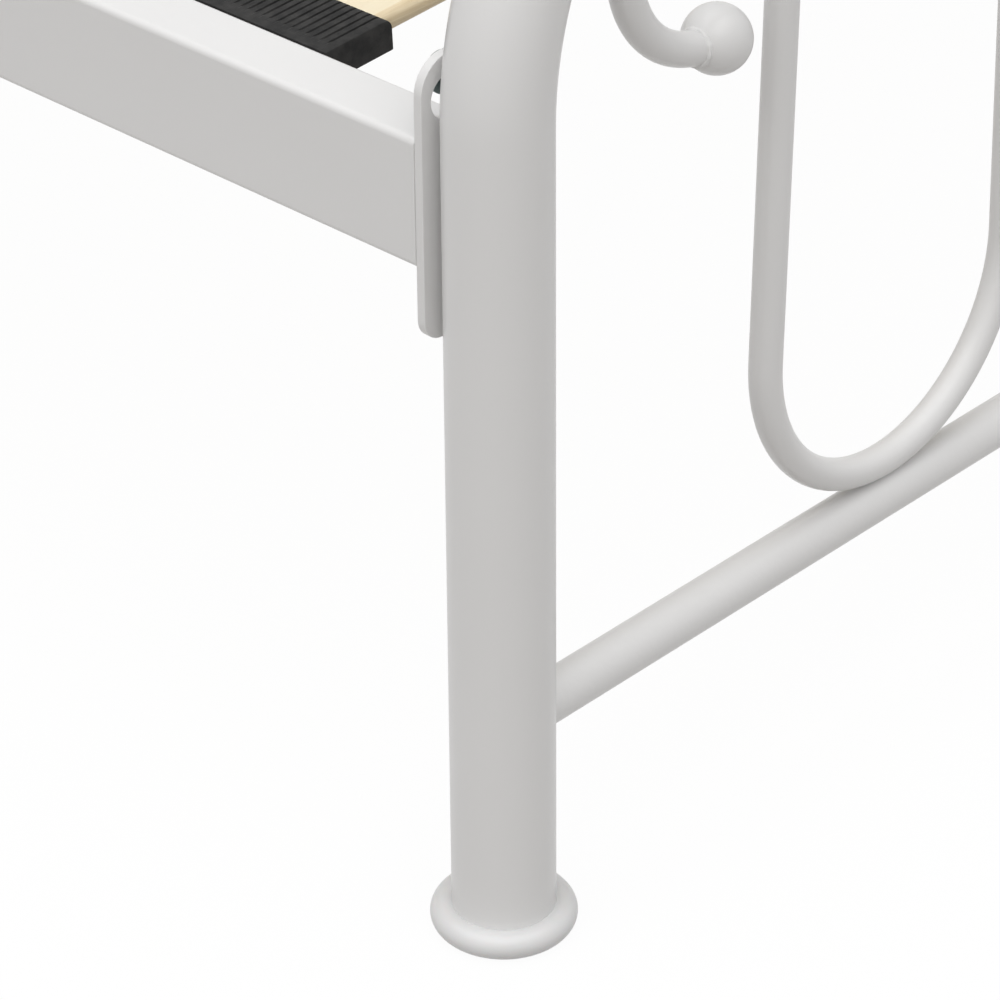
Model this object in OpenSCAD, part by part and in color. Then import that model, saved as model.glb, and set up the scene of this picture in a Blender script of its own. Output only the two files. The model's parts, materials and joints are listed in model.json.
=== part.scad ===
// Steel daybed: two end panels with swept arms, a scrolled back panel, two side rails
// and a sprung slat base. Millimetres, +Z up. The origin is on the floor, midway between
// the four feet. +X runs along the length, the open front is towards -Y.

/* [Bed] */
// Distance between leg centres along the length
length_between_legs = 2044; // [1844:4:2244]
// Distance between leg centres across the width
width_between_legs = 960; // [860:4:1100]

/* [Posts] */
// Outside diameter of the posts and swept arms
post_d = 38; // [30:1:42]
// Wall of the post tube
post_wall = 1.5; // [1:0.1:2.5]
// Height at which the front post starts to bend back
bend_start_z = 323; // [318:1:340]
// Centreline radius of the front post's bend
bend_radius = 139; // [120:1:160]
// Height of the rear post, without its finial
rear_post_h = 900; // [880:5:960]

/* [Infill tubes] */
// Diameter of the crossbars
crossbar_d = 18.4; // [16:0.2:22]
// Height of the end panels' crossbars
crossbar_z = 85.7; // [70:1:110]
// Diameter of the loops, scrolls and bridges
infill_d = 12.6; // [10:0.2:14]
// Wall of the infill tubes
infill_wall = 1; // [0.8:0.1:1.5]
// Centreline radius at the foot of a loop
loop_radius = 70.7; // [55:0.1:76]
// Lean of a loop's arms towards each other, degrees
loop_lean = 1.4; // [0:0.1:3]
// Radius of a scroll's curl
scroll_radius = 45; // [38:1:48]
// Where a scroll hangs in the free width of its gap, from 0 at one side to 1 at the other
scroll_place = 0.75; // [0.5:0.05:0.9]
// Diameter of the ball at a scroll's tip
ball_d = 25.6; // [20:0.2:28]
// Height of a ball's centre above its crossbar
ball_above_bar = 229.4; // [200:1:250]

/* [Side rails] */
// Width of the side rail's box section
rail_w = 26.3; // [22:0.1:32]
// Height of the side rail's box section
rail_h = 48.2; // [40:0.1:60]
// Wall of the side rail
rail_wall = 1.5; // [1:0.1:2.5]
// Height of the side rail's top face
rail_top_z = 316.4; // [310:0.2:320]
// Distance that the rail's middle lies outside the leg centres
rail_offset = 3.3; // [0:0.1:5]
// Thickness of the hook plates
hook_t = 3.5; // [2.5:0.1:5]
// Width of the hook plates
hook_w = 25.6; // [22:0.1:32]
// Height of the rail hook plates
rail_hook_h = 104.6; // [96:0.2:120]

/* [Back panel] */
// Diameter of the back's top rail
back_top_d = 25.4; // [22:0.2:32]
// Height of the back's top rail where it meets the posts
back_top_z = 790; // [740:5:810]
// Height of the back's lower rail
back_bar_z = 372; // [372:1:400]

/* [Slats] */
// Number of slats
slat_count = 14; // [14:1:14]
// Width of a slat
slat_w = 68; // [53:1:74]
// Thickness of a slat
slat_t = 8; // [6:0.5:9]
// Rise of a slat's middle above its ends
slat_bow = 12; // [6:1:20]
// Distance from the leg centres to the first slat's middle
slat_inset = 129; // [98:1:150]
// Width of a slat holder along the rail
holder_w = 80; // [78:1:88]
// Depth of a slat holder from the rail to its mouth
holder_depth = 32; // [22:1:36]
// Height of a slat holder
holder_h = 12.5; // [12:0.1:14]

/* [Fasteners] */
// Shank diameter of the hook bolts
bolt_d = 8; // [6:1:8]

/* [Hidden] */

steel_white = "whitesmoke";
zinc = "silver";
holder_black = "dimgray";
birch = "wheat";

$fn = 48;
slat_fn = 2400;
corner_steps = 8;

// Clearances
weld_gap = 0.1;
slip_gap = 0.3;

// Joints between the straight and bent legs of one tube
seam = 0.02;
sleeve = 0.6;

half_length = length_between_legs / 2;
half_width = width_between_legs / 2;
post_r = post_d / 2;
bar_r = crossbar_d / 2;
infill_r = infill_d / 2;
ball_r = ball_d / 2;
back_top_r = back_top_d / 2;
bolt_r = bolt_d / 2;

// Foot cap: a rounded ring round the foot of each post, with a floor and a plug
foot_ring_r = 5.3;
foot_ring_centre = post_r + 2.6;
foot_floor = 3;
foot_plug_h = 24;

// Finial: a ball on a short neck, with a plug in the post
finial_r = 23;
finial_neck_r = 11;
finial_collar_h = 5;
finial_rise = 8;
finial_sink = 3;
finial_plug_h = 20;

// Swept arm after the front post's bend, each leg [length, radius, turn in degrees]:
// a straight has no turn, a positive turn goes back and down, a negative one up.
arm_bend = 80;
arm_lift = 35;
arm_lift_radius = 700;
arm_crown_radius = 350;
arm_straight = 120;
arm_segs = [
    [bend_start_z - foot_floor, 0, 0],
    [0, bend_radius, arm_bend],
    [0, arm_lift_radius, -arm_lift],
    [arm_straight, 0, 0],
    [0, arm_crown_radius, 90 - arm_bend + arm_lift],
];
arm_start = [0, foot_floor, 0];
arm_end = path_end(arm_segs, arm_start);
arm_run_in = width_between_legs - arm_end[0];
arm_full = concat(arm_segs, [[max(arm_run_in, 1), 0, 0]]);

// End panel rhythm: three loops, with equal gaps between posts and loops
loop_outer = loop_radius + infill_r;
end_gap = (width_between_legs - post_d - 6 * loop_outer) / 4;
end_pitch = end_gap + 2 * loop_outer;
end_loop_us = [for (i = [0:2]) post_r + end_gap + loop_outer + i * end_pitch];
end_ball_z = crossbar_z + ball_above_bar;

// Scrolls: each passes its ball's level by a few degrees before it ends
scroll_over = 4;
scroll_reach = scroll_radius * (1 + sin(scroll_over));
end_scroll_u = post_r + scroll_inset(end_gap);
end_scrolls_at = [
    [end_scroll_u, 1],
    [end_scroll_u + end_pitch, 1],
    [width_between_legs - end_scroll_u - end_pitch, -1],
    [width_between_legs - end_scroll_u, -1],
];

// Bridges: half rings that stand on short legs
bridge_leg = 24;

// Side rail and hooks: an upper bolt in a keyhole and a lower one in a plain hole
rail_corner_r = 2.5;
rail_mid_y = half_width + rail_offset;
rail_mid_z = rail_top_z - rail_h / 2;
rail_end = half_length - post_r - weld_gap - hook_t;
hook_above_rail = 28.2;
rail_hook_top_z = rail_top_z + hook_above_rail;
rail_hook_centre_z = rail_hook_top_z - rail_hook_h / 2;
hook_corner_r = 8.5;
keyhole_r = bolt_r * 2;
keyhole_drop = 6.5;
upper_bolt_drop = 9.2;
lower_bolt_rise = 12.5;
rail_bolt_upper_z = rail_hook_top_z - upper_bolt_drop;
rail_bolt_lower_z = rail_hook_top_z - rail_hook_h + lower_bolt_rise;

// Fasteners: button-head bolts that screw into rivet nuts in the posts
bolt_head_r = bolt_r + 3;
bolt_head_h = 4;
bolt_reach = 12;
washer_r = bolt_r + 4;
washer_t = 1.4;
nut_r = bolt_r + 2;
nut_h = 9;
nut_inset = 1;

// Back panel
back_half = rail_end;
back_crown_turn = 30;
back_dip_radius = 400;
back_crown_radius = 900;
back_rise_run = (back_dip_radius + back_crown_radius) * sin(back_crown_turn);
back_shoulder = back_half - back_rise_run;
back_top_segs = [
    [back_shoulder, 0, 0],
    [0, back_dip_radius, -back_crown_turn],
    [0, back_crown_radius, back_crown_turn],
];
back_top_start = [-back_half, back_top_z, 90];
back_top_full = [
    back_top_segs[0],
    back_top_segs[1],
    [0, back_crown_radius, 2 * back_crown_turn],
    back_top_segs[1],
    back_top_segs[0],
];

// Back panel rhythm: as many gaps as loops, and one more
back_count = 7;
back_gap = (2 * back_half - back_count * 2 * loop_outer) / (back_count + 1);
back_pitch = back_gap + 2 * loop_outer;
back_hook_h = 70;
back_hook_below = 21;
back_bolt_above = 33;
back_ball_z = back_bar_z + ball_above_bar;

// A scroll hangs in every gap of the back and curls towards the middle of the bed
back_scroll_x = back_half - scroll_inset(back_gap);
back_scrolls_at = [
    for (i = [0:back_count], dir = [i < (back_count + 1) / 2 ? 1 : -1])
        [dir > 0 ? i * back_pitch - back_scroll_x : back_scroll_x - (back_count - i) * back_pitch, dir]
];

// Slats: arcs that rise from the holders to the middle of the bed
rail_inner_y = half_width - rail_w / 2 + rail_offset;
holder_back_t = 3;
slat_half = rail_inner_y - holder_back_t;
slat_arc_r = (slat_half * slat_half + slat_bow * slat_bow) / (2 * slat_bow);
slat_half_angle = asin(slat_half / slat_arc_r);
holder_mid_z = rail_top_z - holder_h / 2;
slat_end_z = holder_mid_z + holder_back_t * tan(slat_half_angle);
slat_centre_z = slat_end_z + slat_bow - slat_arc_r;
slat_pitch = (length_between_legs - 2 * slat_inset) / (slat_count - 1);
slat_edge = 2;
peg_r = 4;
peg_reach = 4;
peg_root = 1;

// Distance from a gap's first side to the scroll that hangs in it
function scroll_inset(gap) = infill_r + scroll_place * (gap - infill_r - scroll_reach - ball_r);

// ---- Paths: a state is [across, up, heading], the heading measured from straight up

function turned(seg, s) =
    let (side = sign(seg[2]), r = seg[1], h = s[2] + seg[2])
    [s[0] + side * r * (cos(s[2]) - cos(h)), s[1] + side * r * (sin(h) - sin(s[2])), h];

function seg_end(seg, s) =
    seg[2] == 0 ? [s[0] + seg[0] * sin(s[2]), s[1] + seg[0] * cos(s[2]), s[2]] : turned(seg, s);

function path_end(segs, s, i = 0) =
    i == len(segs) ? s : path_end(segs, seg_end(segs[i], s), i + 1);

// Height of one leg of a path at the distance u across
function seg_height(seg, s, u) =
    seg[2] == 0
        ? s[1] + (u - s[0]) / tan(s[2])
        : let (side = sign(seg[2]), r = seg[1], cu = s[0] + side * r * cos(s[2]),
               cv = s[1] - side * r * sin(s[2]))
          cv + side * sqrt(r * r - (u - cu) * (u - cu));

function height_at(segs, s, u, i = 0) =
    let (next = seg_end(segs[i], s))
    u <= next[0] || i == len(segs) - 1
        ? seg_height(segs[i], s, u)
        : height_at(segs, next, u, i + 1);

// Height of the swept arm's centreline over a point across the end panel
function arm_height(u) = height_at(arm_full, arm_start, u);

// Height of the back's top rail over a point along the length
function back_height(u) = height_at(back_top_segs, back_top_start, -abs(u));

// ---- Tubes

module ring(r, wall) {
    difference() {
        circle(r);
        if (wall > 0) circle(r - wall);
    }
}

// Facets of a full turn, more on a wide sweep
function bend_fn(radius) = radius > 200 ? 360 : 96;

// Bend from the origin, straight up at first; past lengthens it by that angle at both ends
module bend(radius, turn, r, wall, past = 0) {
    mirror([turn < 0 ? 1 : 0, 0, 0])
        translate([radius, 0, 0])
            mirror([1, 0, 0])
                rotate([90, 0, 0])
                    rotate_extrude(angle = abs(turn) + 2 * past, start = -past, $fn = bend_fn(radius))
                        translate([radius, 0]) ring(r, wall);
}

// Tube that leaves the origin straight up and follows its legs in the XZ plane.
// A sleeve in the middle third of the wall joins each leg to the next across a hairline seam.
module tube(segs, r, wall, i = 0) {
    seg = segs[i];
    last = i == len(segs) - 1;
    seam_here = last ? 0 : seam;
    if (seg[2] == 0) linear_extrude(seg[0] - seam_here) ring(r, wall);
    else bend(seg[1], seg[2] - sign(seg[2]) * seam_here / seg[1] * 180 / PI, r, wall);
    if (!last) {
        place = seg_end(seg, [0, 0, 0]);
        translate([place[0], 0, place[1]])
            rotate([0, seg[2], 0]) {
                translate([0, 0, -sleeve]) linear_extrude(2 * sleeve) ring(r - wall / 3, wall / 3);
                tube(segs, r, wall, i + 1);
            }
    }
}

// Tube along a path that starts at a state
module tube_from(s, segs, r, wall) {
    translate([s[0], 0, s[1]])
        rotate([0, s[2], 0])
            tube(segs, r, wall);
}

// ---- Frames: a panel is drawn in the XZ plane, with X running across it

// Right or left end panel, x across the bed from front post to rear post
module end_panel(side) {
    translate([side * half_length, -half_width, 0])
        rotate([0, 0, 90])
            children();
}

// Back panel, x along the bed
module back_panel() {
    translate([0, half_width, 0]) children();
}

// Solid stretch of a path over u, for coping a tube that is welded to it there
module cope(segs, s, u, r, i = 0) {
    next = seg_end(segs[i], s);
    if (u > next[0] && i < len(segs) - 1) cope(segs, next, u, r, i + 1);
    else
        translate([s[0], 0, s[1]])
            rotate([0, s[2], 0])
                if (segs[i][2] == 0) translate([0, 0, -r]) cylinder(r = r, h = segs[i][0] + 2 * r);
                else bend(segs[i][1], segs[i][2], r, 0, asin(r / segs[i][1]));
}

module cope_arm(u) {
    cope(arm_full, arm_start, u, post_r + weld_gap);
}

// The back's top rail is the same on both sides of its middle
module cope_back_top(u) {
    mirror([u > 0 ? 1 : 0, 0, 0])
        cope(back_top_segs, back_top_start, -abs(u), back_top_r + weld_gap);
}

module rear_post_solid(r) {
    translate([width_between_legs, 0, foot_floor]) cylinder(r = r, h = rear_post_h - foot_floor);
}

// ---- Posts

// Cuts the bolt holes in the wall that faces the bed
module post_bore(side, zs) {
    for (z = zs)
        translate([0, 0, z])
            rotate([side * -90, 0, 0])
                cylinder(r = nut_r + weld_gap, h = post_d);
}

module front_post(side) {
    color(steel_white)
        end_panel(side)
            difference() {
                tube_from(arm_start, arm_full, post_r, post_wall);
                rear_post_solid(post_r + weld_gap);
                post_bore(side, [rail_bolt_upper_z, rail_bolt_lower_z]);
            }
}

module rear_post(side) {
    color(steel_white)
        end_panel(side)
            translate([width_between_legs, 0, 0])
                difference() {
                    translate([0, 0, foot_floor])
                        linear_extrude(rear_post_h - foot_floor) ring(post_r, post_wall);
                    post_bore(side, [rail_bolt_upper_z, rail_bolt_lower_z,
                                      back_bar_z + back_bolt_above, back_top_z + back_bolt_above]);
                }
}

module foot_cap() {
    difference() {
        rotate_extrude()
            union() {
                translate([foot_ring_centre, foot_ring_r]) circle(foot_ring_r);
                square([foot_ring_centre, 2 * foot_floor]);
                square([post_r - post_wall - weld_gap, foot_plug_h]);
            }
        difference() {
            translate([0, 0, foot_floor]) cylinder(r = post_r + weld_gap / 2, h = foot_plug_h);
            cylinder(r = post_r - post_wall - weld_gap, h = foot_plug_h + foot_floor);
        }
    }
}

module foot_caps(side) {
    color("white")
        end_panel(side)
            for (u = [0, width_between_legs])
                translate([u, 0, 0]) foot_cap();
}

module finial(side) {
    color(steel_white)
        end_panel(side)
            translate([width_between_legs, 0, rear_post_h]) {
                translate([0, 0, -finial_plug_h])
                    cylinder(r = post_r - post_wall - weld_gap, h = finial_plug_h);
                cylinder(r = post_r, h = finial_collar_h);
                cylinder(r = finial_neck_r, h = finial_collar_h + finial_rise);
                translate([0, 0, finial_collar_h + finial_rise + finial_r - finial_sink]) sphere(finial_r);
            }
}

// ---- End panel infill

module end_crossbar(side) {
    color(steel_white)
        end_panel(side)
            difference() {
                translate([0, 0, crossbar_z])
                    rotate([0, 90, 0])
                        linear_extrude(width_between_legs) ring(bar_r, post_wall);
                cylinder(r = post_r + weld_gap, h = 2 * crossbar_z);
                rear_post_solid(post_r + weld_gap);
            }
}

// Loop centred at u, with the heights that its left and right arms reach
module loop(u, foot_z, left_z, right_z) {
    shoulder_z = foot_z + loop_radius * (1 + sin(loop_lean));
    shoulder_u = loop_radius * cos(loop_lean);
    left = (left_z - shoulder_z) / cos(loop_lean);
    right = (right_z - shoulder_z) / cos(loop_lean);
    start = [u - shoulder_u + left * sin(loop_lean), left_z, 180 + loop_lean];
    segs = [[left, 0, 0], [0, loop_radius, -180 - 2 * loop_lean], [right, 0, 0]];
    tube_from(start, segs, infill_r, infill_wall);
}

function foot_on(bar_z) = bar_z + bar_r + weld_gap + infill_r;

module end_loop(side, i) {
    u = end_loop_us[i];
    color(steel_white)
        end_panel(side)
            difference() {
                loop(u, foot_on(crossbar_z), arm_height(u - loop_radius), arm_height(u + loop_radius));
                cope_arm(u - loop_radius);
                cope_arm(u + loop_radius);
            }
}

// Arch that joins two neighbouring loops at their widest
module bridge(u, bar_z, gap) {
    r = gap / 2 - infill_r - weld_gap;
    start = [u - r, foot_on(bar_z) + loop_radius - bridge_leg, 0];
    segs = [[bridge_leg, 0, 0], [0, r, 180], [bridge_leg, 0, 0]];
    tube_from(start, segs, infill_r, infill_wall);
}

module end_bridges(side) {
    color(steel_white)
        end_panel(side)
            for (i = [0, 1])
                bridge((end_loop_us[i] + end_loop_us[i + 1]) / 2, crossbar_z, end_gap);
}

// Scroll that hangs at u, curls towards dir and ends in a ball
function ball_u(u, dir) = u + dir * scroll_reach;

module scroll(u, dir, ball_z, top_z) {
    turn = 90 + scroll_over;
    rise = top_z - ball_z - scroll_radius * cos(scroll_over);
    segs = [[0, scroll_radius, turn], [rise, 0, 0]];
    difference() {
        translate([ball_u(u, dir), 0, 0])
            mirror([dir < 0 ? 1 : 0, 0, 0])
                tube_from([0, ball_z, -turn], segs, infill_r, infill_wall);
        translate([ball_u(u, dir), 0, ball_z]) sphere(ball_r + weld_gap);
    }
}

module end_scrolls(side) {
    color(steel_white)
        end_panel(side)
            for (at = end_scrolls_at)
                difference() {
                    scroll(at[0], at[1], end_ball_z, arm_height(at[0]));
                    cope_arm(at[0]);
                }
}

module end_scroll_balls(side) {
    color(steel_white)
        end_panel(side)
            for (at = end_scrolls_at)
                translate([ball_u(at[0], at[1]), 0, end_ball_z]) sphere(ball_r);
}

// ---- Side rails and hooks

// Quarter circle round a centre, and a centred outline with rounded corners: rt at the
// top and rb at the bottom
function corner(cx, cy, r, from) =
    [for (i = [0:corner_steps]) let (a = from + 90 * i / corner_steps) [cx + r * cos(a), cy + r * sin(a)]];

function rounded(w, h, rt, rb) = concat(
    corner(w / 2 - rt, h / 2 - rt, rt, 0),
    corner(-w / 2 + rt, h / 2 - rt, rt, 90),
    corner(-w / 2 + rb, -h / 2 + rb, rb, 180),
    corner(w / 2 - rb, -h / 2 + rb, rb, 270)
);

function slat_x(i) = -half_length + slat_inset + i * slat_pitch;

// Side rail on the front (side -1) or rear (side 1)
module side_rail(side) {
    color(steel_white)
        difference() {
            translate([-rail_end, side * rail_mid_y, rail_mid_z])
                rotate([90, 0, 90])
                    linear_extrude(2 * rail_end)
                        difference() {
                            polygon(rounded(rail_w, rail_h, rail_corner_r, rail_corner_r));
                            polygon(rounded(rail_w - 2 * rail_wall, rail_h - 2 * rail_wall,
                                            rail_corner_r - rail_wall, rail_corner_r - rail_wall));
                        }
            for (i = [0:slat_count - 1])
                translate([slat_x(i), side * rail_inner_y, holder_mid_z])
                    rotate([90, 0, 0])
                        cylinder(r = peg_r + slip_gap, h = 4 * rail_wall, center = true);
        }
}

// Plate centred at y and z, with a keyhole whose slot takes the upper bolt on the post's axis
module hook_plate(h, y, z, upper_z, lower_z) {
    difference() {
        translate([0, y, z])
            rotate([90, 0, 90])
                linear_extrude(hook_t)
                    polygon(rounded(hook_w, h, hook_w / 2 - weld_gap, hook_corner_r));
        translate([-hook_t, 0, upper_z]) {
            rotate([0, 90, 0]) cylinder(r = bolt_r + slip_gap, h = 3 * hook_t);
            translate([0, y, -keyhole_drop]) rotate([0, 90, 0]) cylinder(r = keyhole_r, h = 3 * hook_t);
            translate([0, -bolt_r - slip_gap, -keyhole_drop])
                cube([3 * hook_t, 2 * (bolt_r + slip_gap), keyhole_drop]);
        }
        if (lower_z > 0)
            translate([-hook_t, 0, lower_z])
                rotate([0, 90, 0])
                    cylinder(r = bolt_r + slip_gap, h = 3 * hook_t);
    }
}

module at_corner(side_x, side_y) {
    mirror([side_x < 0 ? 1 : 0, 0, 0])
        mirror([0, side_y < 0 ? 1 : 0, 0])
            translate([rail_end, half_width, 0])
                children();
}

module rail_hook(side_x, side_y) {
    color(steel_white)
        at_corner(side_x, side_y)
            hook_plate(rail_hook_h, rail_offset, rail_hook_centre_z, rail_bolt_upper_z, rail_bolt_lower_z);
}

function back_hook_z(bar_z) = bar_z - back_hook_below + back_hook_h / 2;

module back_hooks() {
    color(steel_white)
        for (side_x = [-1, 1], bar_z = [back_bar_z, back_top_z])
            at_corner(side_x, 1)
                hook_plate(back_hook_h, 0, back_hook_z(bar_z), bar_z + back_bolt_above, 0);
}

// Every bolt's height, and which post it is in: -1 is the front one, 1 the rear one
bolt_rows = [
    [rail_bolt_upper_z, -1], [rail_bolt_lower_z, -1],
    [rail_bolt_upper_z, 1], [rail_bolt_lower_z, 1],
    [back_bar_z + back_bolt_above, 1], [back_top_z + back_bolt_above, 1],
];

module at_bolts() {
    for (side_x = [-1, 1], row = bolt_rows)
        at_corner(side_x, row[1])
            translate([0, 0, row[0]])
                rotate([0, 90, 0])
                    children();
}

module hook_bolts() {
    color(zinc)
        at_bolts() {
            translate([0, 0, -washer_t - 2 * weld_gap]) {
                translate([0, 0, -bolt_head_h]) cylinder(r = bolt_head_r, h = bolt_head_h);
                cylinder(r = bolt_r, h = hook_t + washer_t + bolt_reach);
            }
        }
}

module hook_washers() {
    color(zinc)
        at_bolts()
            translate([0, 0, -washer_t - weld_gap])
                linear_extrude(washer_t) ring(washer_r, washer_r - bolt_r - slip_gap);
}

module hook_rivet_nuts() {
    color(zinc)
        at_bolts()
            translate([0, 0, hook_t + weld_gap + nut_inset])
                linear_extrude(nut_h) ring(nut_r, nut_r - bolt_r - weld_gap);
}

// ---- Slats and holders

module slat(i) {
    t = slat_t / 2;
    w = slat_w / 2;
    c = slat_edge;
    color(birch)
        translate([slat_x(i), 0, slat_centre_z])
            rotate([0, -90, 0])
                rotate([0, 0, -slat_half_angle])
                    rotate_extrude(angle = 2 * slat_half_angle, $fn = slat_fn)
                        translate([slat_arc_r, 0])
                            polygon([
                                [-t, -w + c], [-t + c, -w], [t - c, -w], [t, -w + c],
                                [t, w - c], [t - c, w], [-t + c, w], [-t, w - c],
                            ]);
}

// Holder drawn at the origin on a rail whose inner face is at y = 0, open towards +y
module slat_holder() {
    pocket_w = slat_w + 2 * slip_gap;
    pocket_h = slat_t + 2 * slip_gap;
    difference() {
        rotate([slat_half_angle, 0, 0])
            difference() {
                translate([-holder_w / 2, -holder_back_t, -holder_h / 2])
                    cube([holder_w, holder_back_t + holder_depth, holder_h]);
                translate([-pocket_w / 2, holder_back_t - slip_gap, -pocket_h / 2])
                    cube([pocket_w, holder_depth, pocket_h]);
            }
        translate([-holder_w, -holder_h, -holder_h]) cube([2 * holder_w, holder_h, 2 * holder_h]);
    }
    rotate([90, 0, 0])
        translate([0, 0, -peg_root]) cylinder(r = peg_r, h = peg_reach + peg_root);
}

module slat_holders(side) {
    color(holder_black)
        for (i = [0:slat_count - 1])
            mirror([0, side > 0 ? 1 : 0, 0])
                translate([slat_x(i), -rail_inner_y, holder_mid_z])
                    slat_holder();
}

// ---- Back panel

module back_top_rail() {
    color(steel_white)
        back_panel() tube_from(back_top_start, back_top_full, back_top_r, post_wall);
}

module back_lower_rail() {
    color(steel_white)
        back_panel()
            translate([-back_half, 0, back_bar_z])
                rotate([0, 90, 0])
                    linear_extrude(2 * back_half) ring(bar_r, post_wall);
}

function back_loop_x(i) = (i - (back_count + 1) / 2) * back_pitch;

module back_loop(i) {
    u = back_loop_x(i);
    color(steel_white)
        back_panel()
            difference() {
                loop(u, foot_on(back_bar_z), back_height(u - loop_radius), back_height(u + loop_radius));
                cope_back_top(u - loop_radius);
                cope_back_top(u + loop_radius);
            }
}

module back_bridges() {
    color(steel_white)
        back_panel()
            for (i = [1:back_count - 1])
                bridge(back_loop_x(i) + back_pitch / 2, back_bar_z, back_gap);
}

module back_scrolls() {
    color(steel_white)
        back_panel()
            for (at = back_scrolls_at)
                difference() {
                    scroll(at[0], at[1], back_ball_z, back_height(at[0]));
                    cope_back_top(at[0]);
                }
}

module back_scroll_balls() {
    color(steel_white)
        back_panel()
            for (at = back_scrolls_at)
                translate([ball_u(at[0], at[1]), 0, back_ball_z]) sphere(ball_r);
}

front_post(1);  // right_front_post
rear_post(1);  // right_rear_post
end_crossbar(1);  // right_crossbar
end_loop(1, 0);  // right_loop_front
end_loop(1, 1);  // right_loop_middle
end_loop(1, 2);  // right_loop_rear
end_bridges(1);  // right_bridges
end_scrolls(1);  // right_scrolls
end_scroll_balls(1);  // right_scroll_balls
foot_caps(1);  // right_foot_caps
finial(1);  // right_finial
front_post(-1);  // left_front_post
rear_post(-1);  // left_rear_post
end_crossbar(-1);  // left_crossbar
end_loop(-1, 0);  // left_loop_front
end_loop(-1, 1);  // left_loop_middle
end_loop(-1, 2);  // left_loop_rear
end_bridges(-1);  // left_bridges
end_scrolls(-1);  // left_scrolls
end_scroll_balls(-1);  // left_scroll_balls
foot_caps(-1);  // left_foot_caps
finial(-1);  // left_finial
side_rail(-1);  // front_rail
side_rail(1);  // rear_rail
rail_hook(1, -1);  // front_right_hook
rail_hook(-1, -1);  // front_left_hook
rail_hook(1, 1);  // rear_right_hook
rail_hook(-1, 1);  // rear_left_hook
hook_bolts();
hook_washers();
hook_rivet_nuts();
slat_holders(-1);  // front_slat_holders
slat_holders(1);  // rear_slat_holders
for (i = [0:slat_count - 1])
    slat(i);
back_top_rail();
back_lower_rail();
for (i = [1:back_count])
    back_loop(i);
back_bridges();
back_scrolls();
back_scroll_balls();
back_hooks();
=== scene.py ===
# Looks of the steel daybed: powder-coated tube, plywood slats in ribbed holders, zinc bolts
# and weld beads, on a white studio floor. Metres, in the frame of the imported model.
import json
import math
import bmesh
import bpy
from mathutils import Matrix, Vector


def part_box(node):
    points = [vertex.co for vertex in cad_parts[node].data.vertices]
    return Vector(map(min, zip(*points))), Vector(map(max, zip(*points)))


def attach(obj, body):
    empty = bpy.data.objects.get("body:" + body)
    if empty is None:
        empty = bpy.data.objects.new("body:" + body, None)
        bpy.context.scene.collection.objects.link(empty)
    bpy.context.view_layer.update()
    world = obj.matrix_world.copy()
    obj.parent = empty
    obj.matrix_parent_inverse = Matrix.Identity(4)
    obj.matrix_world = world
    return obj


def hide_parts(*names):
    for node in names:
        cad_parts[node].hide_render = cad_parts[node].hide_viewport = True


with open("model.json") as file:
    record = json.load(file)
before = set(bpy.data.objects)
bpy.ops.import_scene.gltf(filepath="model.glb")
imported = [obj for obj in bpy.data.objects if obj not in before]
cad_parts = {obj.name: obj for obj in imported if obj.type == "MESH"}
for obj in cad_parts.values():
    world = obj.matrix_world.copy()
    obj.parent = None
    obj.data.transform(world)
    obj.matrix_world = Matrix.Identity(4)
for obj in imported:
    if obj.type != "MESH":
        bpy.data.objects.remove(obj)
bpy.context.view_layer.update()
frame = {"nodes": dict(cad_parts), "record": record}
slots = {part["node"]: part["material_slot"] for part in frame["record"]["subparts"]}


# ---- Materials


def new_material(name):
    """A material with its Principled shader, and a function that adds and links nodes."""
    material = bpy.data.materials.new(name)
    material.use_nodes = True
    nodes = material.node_tree.nodes
    links = material.node_tree.links
    shader = nodes["Principled BSDF"]

    def add(kind, settings=None, **inputs):
        node = nodes.new("ShaderNode" + kind)
        for key, value in (settings or {}).items():
            setattr(node, key, value)
        for key, value in inputs.items():
            socket = node.inputs[key.replace("_", " ")]
            if isinstance(value, bpy.types.NodeSocket):
                links.new(value, socket)
            else:
                socket.default_value = value
        return node

    return material, shader, add, links


def ramp(add, factor, stops):
    """Colour ramp over a factor, with stops of (position, colour)."""
    node = add("ValToRGB")
    while len(node.color_ramp.elements) < len(stops):
        node.color_ramp.elements.new(0.5)
    for element, (position, colour) in zip(node.color_ramp.elements, stops):
        element.position = position
        element.color = (*colour, 1)
    node.id_data.links.new(factor, node.inputs[0])
    return node.outputs[0]


def stretched(add, scale):
    """Object coordinates, scaled per axis."""
    coords = add("TexCoord")
    mapping = add("Mapping", Vector=coords.outputs["Object"])
    mapping.inputs["Scale"].default_value = scale
    return mapping.outputs[0]


def powder_coat():
    """Glossy white powder coat: a faint orange peel, and a slight drift in tone and gloss."""
    material, shader, add, links = new_material("powder_coat")
    coords = stretched(add, (1, 1, 1))
    tone = add("TexNoise", Vector=coords, Scale=7.0, Detail=3.0)
    colour = ramp(add, tone.outputs["Fac"],
                  [(0.3, (0.775, 0.77, 0.765)), (0.7, (0.80, 0.797, 0.792))])
    links.new(colour, shader.inputs["Base Color"])
    gloss = add("TexNoise", Vector=coords, Scale=60.0, Detail=2.0)
    rough = add("MapRange", Value=gloss.outputs["Fac"], To_Min=0.34, To_Max=0.44)
    links.new(rough.outputs[0], shader.inputs["Roughness"])
    peel = add("TexNoise", Vector=coords, Scale=420.0, Detail=2.0, Roughness=0.4)
    bump = add("Bump", Height=peel.outputs["Fac"], Strength=0.05, Distance=0.0006)
    links.new(bump.outputs[0], shader.inputs["Normal"])
    shader.inputs["Coat Weight"].default_value = 0.25
    shader.inputs["Coat Roughness"].default_value = 0.2
    return material


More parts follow.
